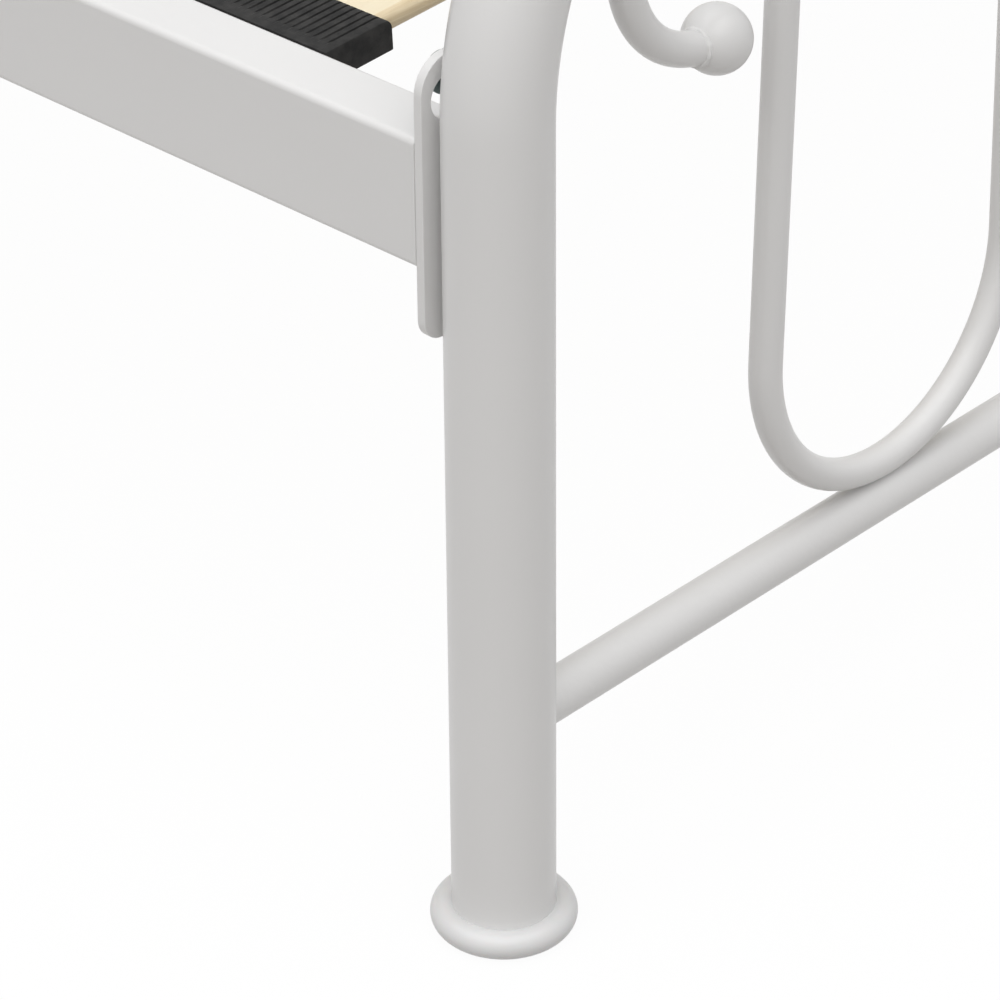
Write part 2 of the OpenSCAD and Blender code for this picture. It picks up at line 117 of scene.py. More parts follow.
def foot_plastic():
    """Glossy white moulded plastic, a little warmer and softer than the paint."""
    material, shader, add, links = new_material("foot_plastic")
    coords = stretched(add, (1, 1, 1))
    tone = add("TexNoise", Vector=coords, Scale=30.0, Detail=3.0)
    colour = ramp(add, tone.outputs["Fac"],
                  [(0.3, (0.74, 0.74, 0.74)), (0.7, (0.77, 0.77, 0.77))])
    links.new(colour, shader.inputs["Base Color"])
    grain = add("TexNoise", Vector=coords, Scale=900.0, Detail=1.0)
    bump = add("Bump", Height=grain.outputs["Fac"], Strength=0.04, Distance=0.0004)
    links.new(bump.outputs[0], shader.inputs["Normal"])
    shader.inputs["Roughness"].default_value = 0.32
    shader.inputs["Subsurface Weight"].default_value = 0.05
    shader.inputs["Subsurface Scale"].default_value = 0.004
    return material


def zinc():
    """Dark zinc plating with a blue-green cast and fine turning marks."""
    material, shader, add, links = new_material("zinc_plate")
    coords = stretched(add, (1, 1, 1))
    blotch = add("TexNoise", Vector=coords, Scale=160.0, Detail=4.0)
    colour = ramp(add, blotch.outputs["Fac"],
                  [(0.3, (0.11, 0.15, 0.155)), (0.7, (0.3, 0.37, 0.37))])
    links.new(colour, shader.inputs["Base Color"])
    rough = add("MapRange", Value=blotch.outputs["Fac"], To_Min=0.2, To_Max=0.42)
    links.new(rough.outputs[0], shader.inputs["Roughness"])
    turned = add("TexNoise", Vector=stretched(add, (1500, 40, 40)), Scale=1.0, Detail=2.0)
    bump = add("Bump", Height=turned.outputs["Fac"], Strength=0.1, Distance=0.0003)
    links.new(bump.outputs[0], shader.inputs["Normal"])
    shader.inputs["Metallic"].default_value = 1.0
    return material


def holder_plastic():
    """Matt black moulded plastic with a fine spark-eroded grain."""
    material, shader, add, links = new_material("holder_plastic")
    coords = stretched(add, (1, 1, 1))
    dust = add("TexNoise", Vector=coords, Scale=220.0, Detail=5.0)
    colour = ramp(add, dust.outputs["Fac"],
                  [(0.35, (0.021, 0.021, 0.021)), (0.75, (0.045, 0.044, 0.043))])
    links.new(colour, shader.inputs["Base Color"])
    grain = add("TexNoise", Vector=coords, Scale=1600.0, Detail=2.0)
    bump = add("Bump", Height=grain.outputs["Fac"], Strength=0.25, Distance=0.0003)
    links.new(bump.outputs[0], shader.inputs["Normal"])
    shader.inputs["Roughness"].default_value = 0.6
    shader.inputs["Specular IOR Level"].default_value = 0.12
    return material


def birch():
    """Lacquered birch veneer: long pale grain along the slat, with a few darker streaks."""
    material, shader, add, links = new_material("birch_veneer")
    warp = add("TexNoise", Vector=stretched(add, (14, 2.2, 14)), Scale=1.0, Detail=3.0)
    fine = add("TexNoise", Vector=stretched(add, (420, 7, 420)), Scale=1.0, Detail=4.0)
    streak = add("TexNoise", Vector=stretched(add, (60, 1.6, 60)), Scale=1.0, Detail=3.0,
                 Distortion=0.6)
    grain = add("Math", {"operation": "MULTIPLY"})
    links.new(fine.outputs["Fac"], grain.inputs[0])
    links.new(streak.outputs["Fac"], grain.inputs[1])
    base = ramp(add, streak.outputs["Fac"],
                [(0.3, (0.92, 0.83, 0.62)), (0.55, (0.90, 0.80, 0.59)), (0.75, (0.83, 0.70, 0.47))])
    fibres = ramp(add, grain.outputs[0], [(0.12, (0.95, 0.92, 0.88)), (0.3, (1, 1, 1))])
    mixed = add("Mix", {"data_type": "RGBA", "blend_type": "MULTIPLY"})
    mixed.inputs["Factor"].default_value = 1.0
    links.new(base, mixed.inputs[6])
    links.new(fibres, mixed.inputs[7])
    links.new(mixed.outputs[2], shader.inputs["Base Color"])
    rough = add("MapRange", Value=warp.outputs["Fac"], To_Min=0.3, To_Max=0.42)
    links.new(rough.outputs[0], shader.inputs["Roughness"])
    bump = add("Bump", Height=fine.outputs["Fac"], Strength=0.08, Distance=0.0004)
    links.new(bump.outputs[0], shader.inputs["Normal"])
    shader.inputs["Coat Weight"].default_value = 0.2
    shader.inputs["Coat Roughness"].default_value = 0.2
    return material


def ply_edge():
    """Sawn and rounded edge of the plywood: darker fibres that run along the slat."""
    material, shader, add, links = new_material("ply_edge")
    lines = add("TexNoise", Vector=stretched(add, (700, 3, 700)), Scale=1.0, Detail=2.0)
    plies = ramp(add, lines.outputs["Fac"], [(0.35, (0.72, 0.58, 0.37)), (0.6, (0.84, 0.71, 0.49))])
    fibre = add("TexNoise", Vector=stretched(add, (900, 60, 900)), Scale=1.0, Detail=3.0)
    shade = ramp(add, fibre.outputs["Fac"], [(0.3, (0.92, 0.9, 0.87)), (0.6, (1, 1, 1))])
    mixed = add("Mix", {"data_type": "RGBA", "blend_type": "MULTIPLY"})
    mixed.inputs["Factor"].default_value = 1.0
    links.new(plies, mixed.inputs[6])
    links.new(shade, mixed.inputs[7])
    links.new(mixed.outputs[2], shader.inputs["Base Color"])
    bump = add("Bump", Height=fibre.outputs["Fac"], Strength=0.2, Distance=0.0004)
    links.new(bump.outputs[0], shader.inputs["Normal"])
    shader.inputs["Roughness"].default_value = 0.55
    return material


# ---- Meshes


def smooth_by_angle(bm, limit=math.radians(40)):
    """Smooth faces, with the edges that turn by more than the limit kept sharp."""
    for face in bm.faces:
        face.smooth = True
    for edge in bm.edges:
        if len(edge.link_faces) == 2 and edge.calc_face_angle() > limit:
            edge.smooth = False


def make_piece(name, bm, materials, nodes=()):
    """Turns a bmesh into a piece that rides on the bed and stands for its CAD nodes."""
    bmesh.ops.recalc_face_normals(bm, faces=bm.faces)
    smooth_by_angle(bm)
    mesh = bpy.data.meshes.new(name)
    bm.to_mesh(mesh)
    bm.free()
    for material in materials:
        mesh.materials.append(material)
    piece = bpy.data.objects.new(name, mesh)
    bpy.context.scene.collection.objects.link(piece)
    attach(piece, "root")
    if nodes:
        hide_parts(*nodes)
    return piece


def walk(start, segs, step=0.0025):
    """Points of a flat path. start is (across, up, heading in degrees from straight up); each
    leg is (length, 0, 0) for a straight or (0, radius, turn) for a bend, as in the model."""
    u, v, heading = start
    heading = math.radians(heading)
    points = [(u, v)]
    for length, radius, turn in segs:
        if not radius:
            count = max(2, int(length / 0.02))
            for k in range(1, count + 1):
                points.append((u + length * k / count * math.sin(heading),
                               v + length * k / count * math.cos(heading)))
            u, v = points[-1]
            continue
        turn = math.radians(turn)
        side = math.copysign(1, turn)
        centre = (u + side * radius * math.cos(heading), v - side * radius * math.sin(heading))
        count = max(6, int(abs(turn) * radius / step))
        for k in range(1, count + 1):
            h = heading + turn * k / count
            points.append((centre[0] - side * radius * math.cos(h),
                           centre[1] + side * radius * math.sin(h)))
        heading += turn
        u, v = points[-1]
    return points


def over(points, u):
    """Height of a path over the distance u across."""
    for (u0, v0), (u1, v1) in zip(points, points[1:]):
        if u0 <= u <= u1 and u1 > u0:
            return v0 + (v1 - v0) * (u - u0) / (u1 - u0)
    return points[-1][1]


def sweep(bm, points, normal, radius, sides=40, wobble=None):
    """Round tube along points that lie in a plane with that normal, with closed ends.
    wobble gives a share to add to the radius at (point number, angle)."""
    points = [Vector(p) for p in points]
    normal = Vector(normal)
    closed = (points[0] - points[-1]).length < 1e-6
    if closed:
        points.pop()
    count = len(points)
    rings = []
    for k, point in enumerate(points):
        before = points[k - 1] if closed or k else points[0]
        after = points[(k + 1) % count] if closed or k < count - 1 else points[-1]
        across = (after - before).normalized().cross(normal)
        ring = []
        for j in range(sides):
            a = 2 * math.pi * j / sides
            r = radius * (1 + (wobble(k, a) if wobble else 0))
            ring.append(bm.verts.new(point + r * (math.cos(a) * normal + math.sin(a) * across)))
        rings.append(ring)
    for k in range(count if closed else count - 1):
        this, following = rings[k], rings[(k + 1) % count]
        for j in range(sides):
            i = (j + 1) % sides
            bm.faces.new((this[j], this[i], following[i], following[j]))
    if not closed:
        bm.faces.new(rings[0])
        bm.faces.new(rings[-1])


def revolve(bm, profile, place, sides=72, reshape=None):
    """Solid of a profile of (radius, height) points turned about Z, then placed by a matrix.
    reshape may change a point's radius by (profile point number, angle)."""
    rings = []
    for k, (r, z) in enumerate(profile):
        if r == 0:
            rings.append([bm.verts.new(place @ Vector((0, 0, z)))])
            continue
        ring = []
        for j in range(sides):
            a = 2 * math.pi * j / sides
            q = r * (reshape(k, a) if reshape else 1)
            ring.append(bm.verts.new(place @ Vector((q * math.cos(a), q * math.sin(a), z))))
        rings.append(ring)
    for this, following in zip(rings, rings[1:]):
        for j in range(sides):
            i = (j + 1) % sides
            corners = [this[j % len(this)], this[i % len(this)],
                       following[i % len(following)], following[j % len(following)]]
            corners = list(dict.fromkeys(corners))
            if len(corners) > 2:
                bm.faces.new(corners)


def arc(cx, cy, r, start, end, count=12):
    """Points on a circle from one angle to another, in degrees."""
    angles = [math.radians(start + (end - start) * k / count) for k in range(count + 1)]
    return [(cx + r * math.cos(a), cy + r * math.sin(a)) for a in angles]


# ---- Sizes read from the frame


def middle(node, axis):
    low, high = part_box(node)
    return (low[axis] + high[axis]) / 2


def half(node, axis):
    low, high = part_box(node)
    return (high[axis] - low[axis]) / 2


LEG_X = middle("right_rear_post", 0)
LEG_Y = middle("right_rear_post", 1)
POST_R = half("right_rear_post", 0)
POST_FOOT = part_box("right_rear_post")[0][2]
POST_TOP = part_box("right_rear_post")[1][2]
TUBE_R = half("right_loop_front", 0)
BAR_R = half("right_crossbar", 0)
BALL_R = half("right_scroll_balls", 0)
LOOP_R = half("right_loop_front", 1) - TUBE_R
LOOP_LEAN = 1.4
SCROLL_R = 0.045
SCROLL_OVER = 4
BACK_HALF = half("back_lower_rail", 0)
TOP_RAIL_R = half("back_top_rail", 1)
TOP_RAIL_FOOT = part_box("back_top_rail")[0][2] + TOP_RAIL_R

# The swept arm and the back's top rail, leg by leg, as the model has them
BEND_START = 0.323
ARM = [(BEND_START - POST_FOOT, 0, 0), (0, 0.139, 80), (0, 0.7, -35), (0.12, 0, 0), (0, 0.35, 45)]
arm_points = walk((0, POST_FOOT, 0), ARM)
arm_points.append((2 * LEG_Y, arm_points[-1][1]))
CROWN = 30
DIP_R = 0.4
CROWN_R = 0.9
SHOULDER = BACK_HALF - (DIP_R + CROWN_R) * math.sin(math.radians(CROWN))
top_points = walk((-BACK_HALF, TOP_RAIL_FOOT, 90), [
    (SHOULDER, 0, 0), (0, DIP_R, -CROWN), (0, CROWN_R, 2 * CROWN), (0, DIP_R, -CROWN), (SHOULDER, 0, 0)])


class Panel:
    """A flat panel of tubes: where its plane lies, and the rail that its tubes hang from."""

    def __init__(self, name, place, normal, axis, overhead, start):
        self.name = name
        self.place = place
        self.normal = normal
        self.axis = axis
        self.overhead = overhead
        self.start = start

    def put(self, points):
        return [self.place(u, v) for u, v in points]

    def across(self, node):
        """A node's middle, across the panel."""
        return middle(node, self.axis) - self.start


def end_panel(name, side):
    return Panel(name, lambda u, v: (side * LEG_X, u - LEG_Y, v), (1, 0, 0), 1, arm_points, -LEG_Y)


right = end_panel("right", 1)
left = end_panel("left", -1)
back = Panel("back", lambda u, v: (u, LEG_Y, v), (0, 1, 0), 0, top_points, 0)

paint = powder_coat()
plastic = foot_plastic()
plating = zinc()
rubber = holder_plastic()
veneer = birch()
edge = ply_edge()


# ---- Posts, rails and infill


def tube_piece(panel, node, paths, radius, sides=40):
    bm = bmesh.new()
    for points in paths:
        sweep(bm, panel.put(points), panel.normal, radius, sides)
    return make_piece(node + "_tube", bm, [paint], [node])


def loop_path(panel, node):
    """A loop's arms lean together as they rise to the rail over them."""
    u = panel.across(node)
    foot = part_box(node)[0][2] + TUBE_R
    lean = math.radians(LOOP_LEAN)
    shoulder_z = foot + LOOP_R * (1 + math.sin(lean))
    left_z = over(panel.overhead, u - LOOP_R)
    right_z = over(panel.overhead, u + LOOP_R)
    left_run = (left_z - shoulder_z) / math.cos(lean)
    right_run = (right_z - shoulder_z) / math.cos(lean)
    start_u = u - LOOP_R * math.cos(lean) + left_run * math.sin(lean)
    return walk((start_u, left_z, 180 + LOOP_LEAN),
                [(left_run, 0, 0), (0, LOOP_R, -180 - 2 * LOOP_LEAN), (right_run, 0, 0)])


def bridge_path(node, u, gap):
    """A half-ring on two short legs, between loops a gap apart."""
    low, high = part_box(node)
    r = gap / 2 - TUBE_R
    leg = high[2] - low[2] - r - TUBE_R
    return walk((u - r, low[2], 0), [(leg, 0, 0), (0, r, 180), (leg, 0, 0)])


def scroll_path(panel, u, turn_to, ball_z):
    """A scroll that hangs at u and curls towards turn_to, 1 or -1, up to its ball."""
    reach = SCROLL_R * (1 + math.sin(math.radians(SCROLL_OVER)))
    top = over(panel.overhead, u)
    rise = top - ball_z - SCROLL_R * math.cos(math.radians(SCROLL_OVER))
    points = walk((0, ball_z, -90 - SCROLL_OVER), [(0, SCROLL_R, 90 + SCROLL_OVER), (rise, 0, 0)])
    return [(u + turn_to * (reach + x), v) for x, v in points], u + turn_to * reach


def infill(panel, loops, bar, scrolls, bar_span):
    """All the thin tubes of a panel, and its balls. Returns where its loops stand, and its scrolls."""
    for node in loops:
        tube_piece(panel, node, [loop_path(panel, node)], TUBE_R)
    at = [panel.across(node) for node in loops]
    gap = at[1] - at[0] - 2 * (LOOP_R + TUBE_R)
    bridges = panel.name + "_bridges"
    tube_piece(panel, bridges,
               [bridge_path(bridges, (a + b) / 2, gap) for a, b in zip(at, at[1:])], TUBE_R)
    ball_z = middle(panel.name + "_scroll_balls", 2)
    paths, balls = zip(*[scroll_path(panel, u, turn_to, ball_z) for u, turn_to in scrolls])
    tube_piece(panel, panel.name + "_scrolls", paths, TUBE_R)
    tube_piece(panel, bar, [[(u, middle(bar, 2)) for u in bar_span]], BAR_R, 56)
    bm = bmesh.new()
    for u in balls:
        revolve(bm, [(abs(x) if abs(x) > 1e-9 else 0, z) for x, z in arc(0, 0, BALL_R, -90, 90, 32)],
                Matrix.Translation(panel.place(u, ball_z)))
    make_piece(panel.name + "_balls", bm, [paint], [panel.name + "_scroll_balls"])
    return at, paths


def spread(low, high, count):
    return [low + (high - low) * k / (count - 1) for k in range(count)]


def end_frame(panel):
    """An end panel: its swept front post and arm, its rear post and its infill."""
    tube_piece(panel, panel.name + "_front_post", [arm_points], POST_R, 96)
    tube_piece(panel, panel.name + "_rear_post",
               [[(2 * LEG_Y, z) for z in spread(POST_FOOT, POST_TOP, 24)]], POST_R, 96)
    loops = [f"{panel.name}_loop_{place}" for place in ("front", "middle", "rear")]
    pitch = panel.across(loops[1]) - panel.across(loops[0])
    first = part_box(panel.name + "_scrolls")[0][1] + TUBE_R + LEG_Y
    scrolls = [(first, 1), (first + pitch, 1), (2 * LEG_Y - first - pitch, -1), (2 * LEG_Y - first, -1)]
    return infill(panel, loops, panel.name + "_crossbar", scrolls, spread(0, 2 * LEG_Y, 24))


def back_frame():
    """The back panel: its cambered top rail and its infill."""
    tube_piece(back, "back_top_rail", [top_points], TOP_RAIL_R - 0.0002, 64)
    loops = [f"back_loop_{i}" for i in range(1, 8)]
    pitch = back.across(loops[1]) - back.across(loops[0])
    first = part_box("back_scrolls")[0][0] + TUBE_R
    count = len(loops) + 1
    scrolls = [(first + i * pitch, 1) for i in range(count // 2)]
    scrolls += [(-u, -1) for u, _ in scrolls]
    return infill(back, loops, "back_lower_rail", scrolls, spread(-BACK_HALF, BACK_HALF, 40))


# ---- Welds


def ripple(k, a):
    """Uneven bead, the same each time."""
    return 0.13 * math.sin(1.9 * k) + 0.09 * math.sin(0.83 * k + 2 * a) + 0.05 * math.sin(5 * a + k)


def ring_bead(bm, centre, along, ring, thick, count=40):
    """Bead round a tube that runs along a direction."""
    along = Vector(along).normalized()
    side = along.orthogonal().normalized()
    other = along.cross(side)
    points = []
    for k in range(count + 1):
        a = 2 * math.pi * k / count
        points.append(Vector(centre) + ring * (math.cos(a) * side + math.sin(a) * other))
    sweep(bm, points, along, thick, 10, ripple)


def line_bead(bm, middle_at, along, length, normal, thick, count=14):
    """Short bead that tapers to both ends."""
    along = Vector(along)
    points = [Vector(middle_at) + along * length * (k / (count - 1) - 0.5) for k in range(count)]

    def taper(k, a):
        return ripple(k, a) - 1 + max(0.12, math.sin(math.pi * (k + 0.5) / count)) ** 0.5

    sweep(bm, points, normal, thick, 10, taper)


def leaves_ball(path):
    """Where a scroll comes out of its ball, and its heading there."""
    reach = math.sqrt(BALL_R ** 2 - TUBE_R ** 2)
    start = Vector(path[0])
    for a, b in zip(path, path[1:]):
        near, far = (Vector(a) - start).length, (Vector(b) - start).length
        if far >= reach:
            return Vector(a).lerp(Vector(b), (reach - near) / (far - near)), Vector(b) - Vector(a)


def panel_welds(panel, at, scrolls, bar):
    """Beads where loops stand on their bar, where bridges touch loops, and at the balls."""
    bm = bmesh.new()
    normal = Vector(panel.normal)
    along = Vector(panel.place(1, 0)) - Vector(panel.place(0, 0))
    inward = -1 if normal.dot(Vector(panel.place(0, 0))) > 0 else 1
    contact = middle(bar, 2) + BAR_R
    for u in at:
        spot = Vector(panel.place(u, contact + 0.0003)) + inward * normal * 0.0030
        line_bead(bm, spot, along, 0.026, normal, 0.0019)
    touch_z = contact + TUBE_R + LOOP_R
    for a, b in zip(at, at[1:]):
        for u in (a + LOOP_R + TUBE_R, b - LOOP_R - TUBE_R):
            for side in (-1, 1):
                spot = Vector(panel.place(u, touch_z - 0.004)) + side * normal * 0.0026
                line_bead(bm, spot, (0, 0, 1), 0.02, normal, 0.0018)
    for path in scrolls:
        (u, v), (across, up) = leaves_ball(path)
        ring_bead(bm, panel.place(u, v), across * along + up * Vector((0, 0, 1)), TUBE_R * 0.98, 0.0012)
    make_piece(panel.name + "_weld_beads", bm, [paint])


def rail_welds():
    """Fillets under the side rails' ends and up their inner sides, on the hook plates."""
    bm = bmesh.new()
    thick = 0.0017
    for rail, inward in (("front_rail", 1), ("rear_rail", -1)):
        low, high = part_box(rail)
        y, z = middle(rail, 1), middle(rail, 2)
        w, h, r = half(rail, 1), half(rail, 2), 0.0025
        outline = [(r - w, -h)] + arc(w - r, r - h, r, 270, 360, 5) + [(w, h - r)]
        dense = []
        for (a, b), (c, d) in zip(outline, outline[1:]):
            count = max(1, int(math.hypot(c - a, d - b) / 0.0016))
            dense += [(a + (c - a) * k / count, b + (d - b) * k / count) for k in range(count)]
        for x in (low[0] + thick * 0.3, high[0] - thick * 0.3):
            sweep(bm, [(x, y + inward * q, z + p) for q, p in dense], (1, 0, 0), thick, 10, ripple)
    make_piece("rail_weld_beads", bm, [paint])


# ---- Feet and finials


def foot_caps(panel):
    """Cap with a plump ring that hugs the leg."""
    node = panel.name + "_foot_caps"
    outer = half(node, 0)
    ring_r = 0.0053
    centre = outer - ring_r
    profile = [(0, 0), (centre * 0.8, 0)] + arc(centre, ring_r, ring_r, -90, 119, 24)
    profile += [(POST_R - 0.0004, 0.0088), (0, 0.0088)]
    bm = bmesh.new()
    for u in (0, 2 * LEG_Y):
        revolve(bm, profile, Matrix.Translation(panel.place(u, 0)), 96)
    make_piece(panel.name + "_feet", bm, [plastic], [node])


def finial(panel):
    """Ball on a waisted neck and a collar with rounded edges."""
    node = panel.name + "_finial"
    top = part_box(node)[1][2] - POST_TOP
    ball_r = half(node, 0)
    ball_z = top - ball_r
    collar_h = 0.005
    neck_r = 0.011
    soft = 0.0012
    joint = math.degrees(math.asin(neck_r / ball_r))
    profile = [(0, 0.0), (POST_R - 0.0002, 0.0)]
    profile += arc(POST_R - soft, collar_h - soft, soft, 0, 90, 5)
    profile += [(neck_r + 0.002, collar_h), (neck_r + 0.0006, collar_h + 0.0006), (neck_r, collar_h + 0.002)]
    profile += [(max(x, 0), z) for x, z in arc(0, ball_z, ball_r, -90 + joint, 90, 40)]
    profile[-1] = (0, top)
    bm = bmesh.new()
    revolve(bm, profile, Matrix.Translation(panel.place(2 * LEG_Y, POST_TOP)), 80)
    make_piece(node + "_ball", bm, [paint], [node])


# ---- Hook plates, rails and other fasteners keep their CAD shape, the hook plates with softened edges; the hook bolts are rebuilt with threads


def soften(node, width):
    """Rounds a CAD node's sharp edges."""
    piece = frame["nodes"][node]
    weld = piece.modifiers.new("weld", "WELD")
    weld.merge_threshold = 0.00002
    bevel = piece.modifiers.new("bevel", "BEVEL")
    bevel.width = width
    bevel.segments = 3
    bevel.limit_method = "ANGLE"
    bevel.angle_limit = math.radians(45)
    bevel.use_clamp_overlap = True
    piece.data.shade_smooth()
    normals = piece.modifiers.new("normals", "WEIGHTED_NORMAL")
    normals.keep_sharp = True


def paint_cad():
    """Each CAD node gets its slot's finish, and the hook plates get soft edges."""
    finishes = {"frame": paint, "foot": plastic, "fastener": plating, "holder": rubber, "slat": veneer}
    for node, piece in frame["nodes"].items():
        piece.data.materials.clear()
        piece.data.materials.append(finishes[slots[node]])
    for node in ("front_right_hook", "front_left_hook", "rear_right_hook", "rear_left_hook", "back_hooks"):
        soften(node, 0.0008)


def bolts():
    """Button heads with a hexagon socket, on threaded shanks."""
    shank_r = 0.004
    head_r = 0.007
    head_h = 0.004
    socket_r = 0.0024
    pitch = 0.00125
    profile = [(0, -head_h + 0.0021), (socket_r, -head_h + 0.0021), (socket_r, -head_h + 0.0002),
               (socket_r + 0.0004, -head_h)]
    profile += [(socket_r + 0.0009 + (head_r - socket_r - 0.0009) * math.sin(a),
                 -head_h + head_h * 0.88 * (1 - math.cos(a)))
                for a in [math.radians(90 * k / 8) for k in range(1, 9)]]
    profile += [(head_r, 0), (shank_r, 0)]
    end = 0.0169
    threads = int((end - 0.002) / pitch)
    for k in range(threads):
        z = 0.002 + k * pitch
        profile += [(shank_r, z), (shank_r - 0.0006, z + pitch / 2)]
    profile += [(shank_r - 0.0008, end), (0, end)]

    def hexagon(k, a):
        if k not in (1, 2):
            return 1
        turn = (a % math.radians(60)) - math.radians(30)
        return math.cos(math.radians(30)) / math.cos(turn) * 1.1

    low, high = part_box("front_right_hook")
    under_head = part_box("hook_bolts")[1][0] - end
    upper, lower = high[2] - 0.0092, low[2] + 0.0125
    rows = [(upper, -1), (lower, -1), (upper, 1), (lower, 1)]
    rows += [(middle("back_lower_rail", 2) + 0.033, 1), (TOP_RAIL_FOOT + 0.033, 1)]
    bm = bmesh.new()
    for side in (-1, 1):
        for z, y_side in rows:
            place = Matrix.Translation((side * under_head, y_side * LEG_Y, z))
            revolve(bm, profile, place @ Matrix.Rotation(side * math.pi / 2, 4, "Y"), 48, hexagon)
    make_piece("hook_bolts_threaded", bm, [plating], ["hook_bolts"])


# ---- Slats and holders


def rounded_plank(w, t, r, steps=5):
    """Outline of a slat's section, anticlockwise from its right side, w and t being halves."""
    return (arc(w - r, t - r, r, 0, 90, steps) + arc(-w + r, t - r, r, 90, 180, steps)
            + arc(-w + r, -t + r, r, 180, 270, steps) + arc(w - r, -t + r, r, 270, 360, steps))


def slat(node):
    """A bowed plank with soft edges, its plies showing along them."""
    low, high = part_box(node)
    x = middle(node, 0)
    reach = half(node, 1)
    width = half(node, 0)
    thick = 0.004
    sag = high[2] - low[2] - 2 * thick
    radius = (reach * reach + sag * sag) / (2 * sag)
    crown = high[2] - thick
    section = rounded_plank(width, thick, 0.0036)
    stations = 60
    bm = bmesh.new()
    rings = []
    for k in range(stations + 1):
        a = (2 * k / stations - 1) * math.asin(min(1, (reach - 0.0003) / radius))
        ring = [(x + p, (radius + q) * math.sin(a), crown - radius + (radius + q) * math.cos(a))
                for p, q in section]
        rings.append([bm.verts.new(spot) for spot in ring])
    count = len(section)
    for this, following in zip(rings, rings[1:]):
        for j in range(count):
            i = (j + 1) % count
            face = bm.faces.new((this[j], this[i], following[i], following[j]))
            flat = abs(section[j][1]) > thick * 0.99 and abs(section[i][1]) > thick * 0.99
            face.material_index = 0 if flat else 1
    for ring in (rings[0], rings[-1]):
        bm.faces.new(ring).material_index = 1
    make_piece(node + "_plank", bm, [veneer, edge], [node])


def holder(bm, place, width, depth, height):
    """Ribbed holder on a rail at y = 0 that opens towards +y: ribs along Y on both faces,
    smooth cheeks and a smooth margin by the rail, and a scalloped mouth rounded along its top."""
    pitch = 0.0036
    cheek = 0.0045
    groove = 0.0014
    margin = 0.0068
    nose = 0.0042
    ribs = round((width - 2 * cheek) / pitch)
    pitch = (width - 2 * cheek) / ribs
    half_w = width / 2
    soft = 0.0008
    xs = [-half_w, -half_w + soft * 0.3, -half_w + soft]
    for k in range(ribs + 1):
        x = -half_w + cheek + k * pitch
        xs += [x - 0.00055, x - 0.0003, x, x + 0.0003, x + 0.00055]
        if k < ribs:
            xs.append(x + pitch / 2)
    xs += [half_w - soft, half_w - soft * 0.3, half_w]
    ys = [0, 0.003, margin - 0.001, margin + 0.001, 0.5 * (margin + depth)]
    ys += [depth - nose * (1 - math.sin(math.radians(90 * k / 7))) for k in range(8)]

    def cut(x):
        """Share of the groove's depth at x: 1 in a groove's middle, 0 on a rib."""
        nearest = min(abs(x - (-half_w + cheek + k * pitch)) for k in range(ribs + 1))
        return max(0.0, 1 - (nearest / 0.0005) ** 2)

    def top(x, y, sign):
        z = height / 2
        if sign > 0 and y > depth - nose:
            z -= nose * (1 - math.sqrt(max(0, 1 - ((y - depth + nose) / nose) ** 2))) * 0.62
        fade = min(1, max(0, (y - margin) / 0.0015))
        z -= groove * cut(x) * fade
        side = max(0, abs(x) - (half_w - soft)) / soft
        return z - soft * (1 - math.sqrt(max(0, 1 - side * side)))

    def front(x, y):
        """The mouth's edge is set back a little at each groove."""
        return y - (0.0015 * cut(x) if y > depth - nose * 0.6 else 0)

    layers = []
    for sign in (1, -1):
        layers.append([[bm.verts.new(place @ Vector((x, front(x, y), sign * top(x, y, sign)))) for x in xs]
                       for y in ys])
    upper, lower = layers
    rows, columns = len(ys), len(xs)
    for grid in layers:
        for r in range(rows - 1):
            for c in range(columns - 1):
                bm.faces.new((grid[r][c], grid[r][c + 1], grid[r + 1][c + 1], grid[r + 1][c]))
    for r in range(rows - 1):
        for c in (0, columns - 1):
            bm.faces.new((upper[r][c], upper[r + 1][c], lower[r + 1][c], lower[r][c]))
    for c in range(columns - 1):
        for r in (0, rows - 1):
            bm.faces.new((upper[r][c], upper[r][c + 1], lower[r][c + 1], lower[r][c]))


def holders(rail, node, side):
    """One piece of all the holders on a rail, tilted to meet the bowed slats' ends."""
    low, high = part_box(node)
    width = 2 * half("slat_1", 0) + 0.012
    height = 0.0125
    inner_y = abs(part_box(rail)[0 if side > 0 else 1][1])
    depth = inner_y - abs(low[1] if side > 0 else high[1]) - 0.0002
    top_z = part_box(rail)[1][2]
    sag = 2 * half("slat_1", 2) - 0.008
    tilt = 2 * sag / half("slat_1", 1)
    bm = bmesh.new()
    for i in range(1, 15):
        x = middle(f"slat_{i}", 0)
        place = Matrix.Translation((x, side * inner_y, top_z - height / 2))
        if side > 0:
            place = place @ Matrix.Rotation(math.pi, 4, "Z")
        holder(bm, place @ Matrix.Rotation(tilt, 4, "X"), width, depth, height)
    make_piece(node + "_ribbed", bm, [rubber], [node])


# ---- Stage


